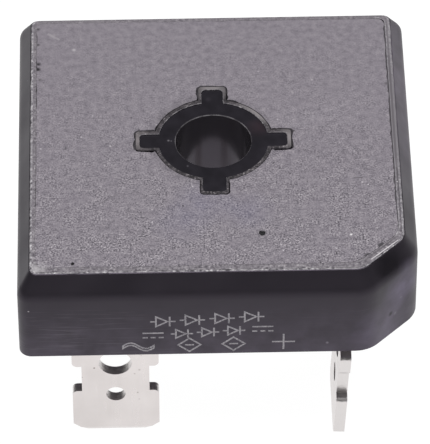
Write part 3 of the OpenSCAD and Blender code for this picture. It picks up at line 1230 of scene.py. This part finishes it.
@dataclass
class Potting:
    """Grey resin that fills the cup, with a shrunk joint along the rim and around the dam."""

    plan: Plan
    depth: float = 0.13
    # How close two of the solid's points may lie before they count as one.
    merge: float = 0.0005
    # What the joint is at least, and how much wider it is along the right side.
    hairline: float = 0.004
    right_from: float = 12.0
    right_more: float = 1.3
    # The resin shrank off the dam's arm ends, less off the arcs between them, and less still in front.
    arm_from: float = 3.6
    arm_run: float = 0.8
    arc_share: float = 0.3
    front_from: float = -1.0
    front_share: float = 0.5
    # Edges of the solid that lie farther out than this belong to the cup's wall.
    wall_from: float = 9.0
    # The torn wall: its share of the width at the bottom, the middle and the top, and how deep the middle
    # lies below a hairline where the joint is open.
    lean: tuple[float, ...] = (0.4, 0.8, 1.2)
    torn_d: float = 0.03
    # A pit's rings below its mouth: share of its radius, and height.
    pit_rings: tuple[Flat, ...] = ((0.85, -0.07), (0.5, -0.12))
    # Pits in the ground face: centre and radius.
    pits: tuple[tuple[float, float, float], ...] = ((3.19, -9.53, 0.3), (-10.3, -12.3, 0.2))

    def build(self, solid: bpy.types.Object, ground: Finish, crevice: Finish) -> None:
        """Carve the joint into a copy of the resin's solid, and hide the solid.

        Args:
            solid: The resin's solid, which stays as it is.
            ground: Finish of the ground face.
            crevice: Finish of the joint and the pits.
        """
        skin = Skin()
        far, close = self.open_top(skin, solid)
        line, gape = self.plan.joint(), self.plan.openness()
        wide = [self.right_more if x > self.right_from else 1.0 for x, y in line]
        gaps = [-(self.hairline + g * w * k) for g, w, k in zip(gape, ragged(line, 0.7, 0.06, 21.0), wide)]
        outer = skin.tube(*self.crevice(line, gaps, gape))
        dam = self.plan.dam()
        ends = [
            max(self.arc_share, ramp(max(abs(x), abs(y)), self.arm_from, self.arm_run))
            * (1.0 if y > self.front_from else self.front_share)
            for x, y in dam
        ]
        widths = [self.hairline + e * w for e, w in zip(ends, ragged(dam, 0.6, 0.1, 31.0))]
        inner = skin.tube(*self.crevice(dam, widths, ends))
        for edges, rings in ((far, outer), (close, inner)):
            skin.fill([rings[0]], ResinFace.CREVICE, edges)
        mouths = [self.pit(skin, number, *pit) for number, pit in enumerate(self.pits)]
        skin.fill([outer[-1], inner[-1], *mouths])
        piece = skin.piece("potting_resin", [ground, crevice])
        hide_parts("potting")

    def open_top(self, skin: Skin, solid: bpy.types.Object) -> tuple[list, list]:
        """Copy the solid without its top face, its walls lowered to the joint's depth.

        Args:
            skin: The mesh that gets the copy.
            solid: The resin's solid.

        Returns:
            The open edges along the cup's wall, and those along the dam.
        """
        mesh = skin.mesh
        mesh.from_mesh(solid.data)
        mesh.transform(Matrix.Scale(1 / MM, 4))
        bmesh.ops.remove_doubles(mesh, verts=mesh.verts[:], dist=self.merge)
        level = [f for f in mesh.faces if all(v.co.z > -self.merge for v in f.verts)]
        bmesh.ops.delete(mesh, geom=level, context="FACES")
        for vert in mesh.verts:
            if vert.co.z > -self.merge:
                vert.co.z = -self.depth
        for face in mesh.faces:
            face.material_index = ResinFace.GROUND
        edges = [e for e in mesh.edges if len(e.link_faces) == 1]
        far = [e for e in edges if max(abs(c) for v in e.verts for c in v.co[:2]) > self.wall_from]
        return far, [e for e in edges if e not in set(far)]

    def crevice(self, edge: list[Flat], widths: list[float], gape: list[float]) -> list[Band]:
        """Make the torn wall of a joint.

        Args:
            edge: The plastic's edge.
            widths: The joint's width at each point, below zero where the resin lies inside the edge.
            gape: How open it is there, from 0 to 1.

        Returns:
            The wall's bands, from the joint's depth up to the ground face.
        """
        heights = (-self.depth, [-self.hairline - self.torn_d * g for g in gape], 0.0)
        return [
            (grow(edge, [share * w for w in widths]), z, ResinFace.CREVICE)
            for share, z in zip(self.lean, heights)
        ]

    def pit(self, skin: Skin, number: int, x: float, y: float, radius: float) -> Ring:
        """Add one torn pit.

        Args:
            skin: The mesh that gets it.
            number: Sets its form apart from the others'.
            x: Its centre across.
            y: Its centre along.
            radius: Its mean radius.

        Returns:
            The ring of its mouth.
        """
        circle = arc((x, y), radius, 0, 360, 18)[:-1]
        mouth = grow(circle, ragged(circle, 0.22, -0.3 * radius, 41.0 + number))
        bands: list[Band] = [(mouth, 0.0, ResinFace.CREVICE)]
        for share, low in self.pit_rings:
            narrowed = [(x + (px - x) * share, y + (py - y) * share) for px, py in mouth]
            bands.append((narrowed, low, ResinFace.CREVICE))
        rings = skin.tube(*bands)
        skin.fill([rings[-1]], ResinFace.CREVICE)
        return rings[0]


CUP_FINISHES = {
    CupFace.MOULDED: SATIN_PLASTIC,
    CupFace.RIM: RIM,
    CupFace.CRUSHED: WHITENED_EDGE,
    CupFace.DAM: DAM,
    CupFace.BORE: BORE,
    CupFace.BORE_LIP: BORE_LIP,
    CupFace.RECESS: DUSTY_PLASTIC,
}


# ---- Marks on the front side ----


class Mark(Enum):
    """Plain signs that the side may carry."""

    PLUS = "plus"
    WAVE = "wave"
    DIODE = "diode"
    STEADY = "steady"
    BRIDGE = "bridge"


@dataclass
class SideMarks:
    """Thin marked strokes on the front side: polarity signs and plain diode signs."""

    side_y: float = -14.275
    sink: float = 0.03
    stroke: float = 0.125
    # Least cosine of half a bend, so that a sharp corner doesn't grow a spike.
    sharpest: float = 0.35
    # Mark, its centre across and up, and its width. The rows lean a little, as the marking did.
    marks: tuple[tuple[Mark, float, float, float], ...] = (
        (Mark.PLUS, 4.58, -6.21, 1.64),
        (Mark.WAVE, -5.76, -6.51, 2.2),
        (Mark.DIODE, -4.0, -3.98, 1.8),
        (Mark.DIODE, -1.9, -3.87, 1.8),
        (Mark.DIODE, 0.2, -3.75, 1.8),
        (Mark.DIODE, 2.3, -3.63, 1.8),
        (Mark.STEADY, -4.7, -5.36, 1.5),
        (Mark.DIODE, -2.65, -5.24, 1.6),
        (Mark.DIODE, -0.8, -5.12, 1.6),
        (Mark.DIODE, 1.05, -5.0, 1.6),
        (Mark.STEADY, 3.1, -4.87, 1.5),
        (Mark.BRIDGE, -2.12, -6.38, 1.6),
        (Mark.BRIDGE, 1.02, -6.34, 1.6),
    )

    def build(self, finish: Finish) -> None:
        """Make all the marks as one piece.

        Args:
            finish: Finish of the strokes.
        """
        skin = Skin()
        for mark, x, z, size in self.marks:
            for line in self.strokes(mark, size):
                self.ribbon(skin, [(x + a, z + b) for a, b in line])
        piece = skin.piece("side_marks", [finish])

    def strokes(self, mark: Mark, size: float) -> list[list[Flat]]:
        """Draw a mark around its centre.

        Args:
            mark: Which mark.
            size: Its width.

        Returns:
            Its lines. A line that ends where it starts is closed.
        """
        h = size / 2
        clear = self.stroke / 2 + 0.01
        if mark is Mark.PLUS:
            return [[(0.0, -0.94 * h), (0.0, 0.94 * h)], [(-h, 0.0), (-clear, 0.0)], [(clear, 0.0), (h, 0.0)]]
        if mark is Mark.WAVE:
            turn = [2 * math.pi * i / 24 for i in range(25)]
            upper = [(-h + size * i / 24, 0.13 * size * math.sin(t) + 0.12) for i, t in enumerate(turn)]
            lower = [(-h + size * i / 24, 0.13 * size * math.sin(t) - 0.12) for i, t in enumerate(turn)]
            return [upper + lower[::-1] + upper[:1]]
        if mark is Mark.STEADY:
            dashes = [(-h + 0.38 * size * i, -0.15 * size) for i in range(3)]
            line = [(-h, 0.15 * size), (h, 0.15 * size)]
            return [line] + [[(x, z), (x + 0.24 * size, z)] for x, z in dashes]
        if mark is Mark.BRIDGE:
            t = 0.42 * size
            frame = [(-h, 0.0), (0.0, t), (h, 0.0), (0.0, -t), (-h, 0.0)]
            return [frame, [(-0.2 * size, 0.0), (0.2 * size, 0.0)]]
        t = 0.27 * size
        return [
            [(-h, 0.0), (-t - clear, 0.0)],
            [(-t, -t), (-t, t), (t - 2 * clear, 0.0), (-t, -t)],
            [(t, -t), (t, t)],
            [(t + clear, 0.0), (h, 0.0)],
        ]

    def ribbon(self, skin: Skin, line: list[Flat]) -> None:
        """Add one stroke as a thin closed solid that stands in the side.

        Args:
            skin: The mesh.
            line: The stroke's middle line.
        """
        closed = line[0] == line[-1]
        points = line[:-1] if closed else line
        half = self.stroke / 2
        rings = []
        for i, (x, z) in enumerate(points):
            before = points[i - 1] if closed or i else points[i]
            after = points[(i + 1) % len(points)] if closed or i < len(points) - 1 else points[i]
            legs = [(a, b) for a, b in ((before, (x, z)), ((x, z), after)) if a != b]
            turns = [math.atan2(b[1] - a[1], b[0] - a[0]) for a, b in legs]
            bend = math.remainder(turns[-1] - turns[0], 2 * math.pi) / 2
            normal = turns[0] + bend + math.pi / 2
            reach = half / max(self.sharpest, math.cos(bend))
            dx, dz = reach * math.cos(normal), reach * math.sin(normal)
            back = self.side_y + self.sink
            corners = ((1, self.side_y), (-1, self.side_y), (-1, back), (1, back))
            rings.append(skin.section([(x + way * dx, y, z + way * dz) for way, y in corners]))
        if closed:
            skin.loft(rings + rings[:1])
        else:
            skin.loft(rings)
            for end in (rings[0], rings[-1]):
                skin.mesh.faces.new(end)


# ---- Tabs and the parts inside ----


def plate(solid: bpy.types.Object, finish: Finish) -> None:
    """Give a solid its finish."""
    for slot in solid.material_slots:
        slot.material = finish
    LOG.info("dressed %s in %s", solid.name, finish.name)


@dataclass
class PushOnTabs:
    """The four stamped tabs: their solids, joined along the seams and plated."""

    weld: float = 0.002
    # Handling marks down the right of the front tab.
    specks: tuple[Wear, ...] = tuple(
        Patch(x, -9.45, r, "8f8583", 0.8, z=z)
        for x, z, r in (
            (-5.6, -12.4, 0.09),
            (-5.75, -13.9, 0.13),
            (-6.1, -14.3, 0.1),
            (-5.9, -16.3, 0.1),
            (-5.8, -17.0, 0.08),
            (-9.95, -14.6, 0.08),
        )
    )

    def build(self, solids: Solids) -> None:
        """Dress the tabs.

        Args:
            solids: The part's solids by name.
        """
        along_y, along_x = (0.0, 1.0, 0.0), (1.0, 0.0, 0.0)
        # The plus tab is turned a quarter, so its strip is thin along X.
        finishes = {
            "ac": NickelPlate(across=along_y, wear=self.specks).build(),
            "plus": NickelPlate(across=along_x).build(),
            "minus": NickelPlate(across=along_y).build(),
        }
        for name, solid in solids.items():
            kind, _, place = name.partition("_")
            if kind == "terminal":
                weld = solid.modifiers.new("joined", "WELD")
                weld.merge_threshold = self.weld * MM
                plate(solid, finishes[place.split("_")[0]])


@dataclass
class DiodeParts:
    """The dice, jumpers and solder that the potting hides."""

    def build(self, solids: Solids) -> None:
        """Dress the parts.

        Args:
            solids: The part's solids by name.
        """
        finishes = {"die": SILICON.build(), "jumper": COPPER.build(), "solder": SOLDER.build()}
        for name, solid in solids.items():
            kind = name.split("_")[0]
            if kind in finishes:
                plate(solid, finishes[kind])


# ---- Studio ----


@dataclass
class Camera:
    """A long lens from the front, well above the part."""

    azimuth: float = -1.089
    elevation: float = 44.476
    roll: float = -0.212
    distance: float = 344.6
    aim: Point = (-0.077, -4.088, -4.164)
    lens: float = 385.6
    sensor: float = 36.0
    # Nearest and farthest that it sees, in metres.
    near: float = 0.01
    far: float = 20.0

    def build(self) -> None:
        """Make the camera and set it as the scene's."""
        turn, rise = math.radians(self.azimuth), math.radians(self.elevation)
        back = Vector((math.sin(turn) * math.cos(rise), -math.cos(turn) * math.cos(rise), math.sin(rise)))
        data = bpy.data.cameras.new("camera")
        data.sensor_width = self.sensor
        data.lens = self.lens
        data.clip_start = self.near
        data.clip_end = self.far
        rig = show("camera", data)
        rig.rotation_mode = "QUATERNION"
        rig.location = (Vector(self.aim) + back * self.distance) * MM
        roll = Quaternion((0, 0, 1), math.radians(self.roll))
        rig.rotation_quaternion = (-back).to_track_quat("-Z", "Y") @ roll
        bpy.context.scene.camera = rig


@dataclass
class Studio:
    """A pale floor under one large soft box, in an even surround."""

    floor_z: float
    floor_radius: float = 1500.0
    paper: str = "f4f4f4"
    glow: float = 1.1
    glow_share: float = 0.9
    surround: float = 0.09
    box_place: Point = (0.0, -60.0, 420.0)
    box_side: float = 320.0
    box_watts: float = 2.2

    def build(self) -> None:
        """Make the floor, the lamp and the world."""
        self.floor()
        self.lamp()
        self.world()

    def floor(self) -> None:
        """Make the floor under the tab tips."""
        mesh = bpy.data.meshes.new("floor")
        side, z = self.floor_radius * MM, self.floor_z * MM
        corners = [(i * side, j * side, z) for i, j in ((-1, -1), (1, -1), (1, 1), (-1, 1))]
        mesh.from_pydata(corners, [], [(0, 1, 2, 3)])
        floor = show("floor", mesh)
        material = bpy.data.materials.new("white_paper")
        tree = empty_tree(material)
        matte = add(tree, "BsdfDiffuse", self.paper)
        glow = add(tree, "Emission", "ffffff", self.glow)
        rays = add(tree, "LightPath").outputs
        seen = add(tree, "Math", rays["Is Camera Ray"], rays["Is Glossy Ray"], operation="MAXIMUM")
        share = add(tree, "Math", seen, self.glow_share, operation="MULTIPLY")
        add(tree, "OutputMaterial", add(tree, "MixShader", share, matte, glow))
        mesh.materials.append(material)
        floor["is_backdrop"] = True

    def lamp(self) -> None:
        """Hang the soft box, facing the part."""
        data = bpy.data.lights.new("top_box", "AREA")
        data.shape = "SQUARE"
        data.size = self.box_side * MM
        data.energy = self.box_watts
        lamp = show("top_box", data)
        place = Vector(self.box_place)
        lamp.location = place * MM
        lamp.rotation_euler = (-place).to_track_quat("-Z", "Y").to_euler()

    def world(self) -> None:
        """Give an even, dim surround that the lens sees as white."""
        world = bpy.data.worlds.new("surround")
        bpy.context.scene.world = world
        tree = empty_tree(world)
        seen = add(tree, "LightPath").outputs["Is Camera Ray"]
        strength = add(tree, "MapRange", seen, 0.0, 1.0, self.surround, 1.0)
        add(tree, "OutputWorld", add(tree, "Background", "ffffff", strength))


def main() -> None:
    """Build the part's looks around the frame."""
    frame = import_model()
    bpy.context.scene.view_settings.view_transform = "Standard"
    cad_low, cad_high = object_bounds()
    Camera().build()
    Studio(floor_z=cad_low.z / MM).build()
    solids = frame["nodes"]
    plan = Plan()
    CupCase(plan).build([CUP_FINISHES[face].build() for face in CupFace])
    Potting(plan).build(solids["potting"], POTTING.build(), JointShade().build())
    SideMarks().build(LASER_MARK.build())
    PushOnTabs().build(solids)
    DiodeParts().build(solids)


if __name__ == "__main__":
    main()
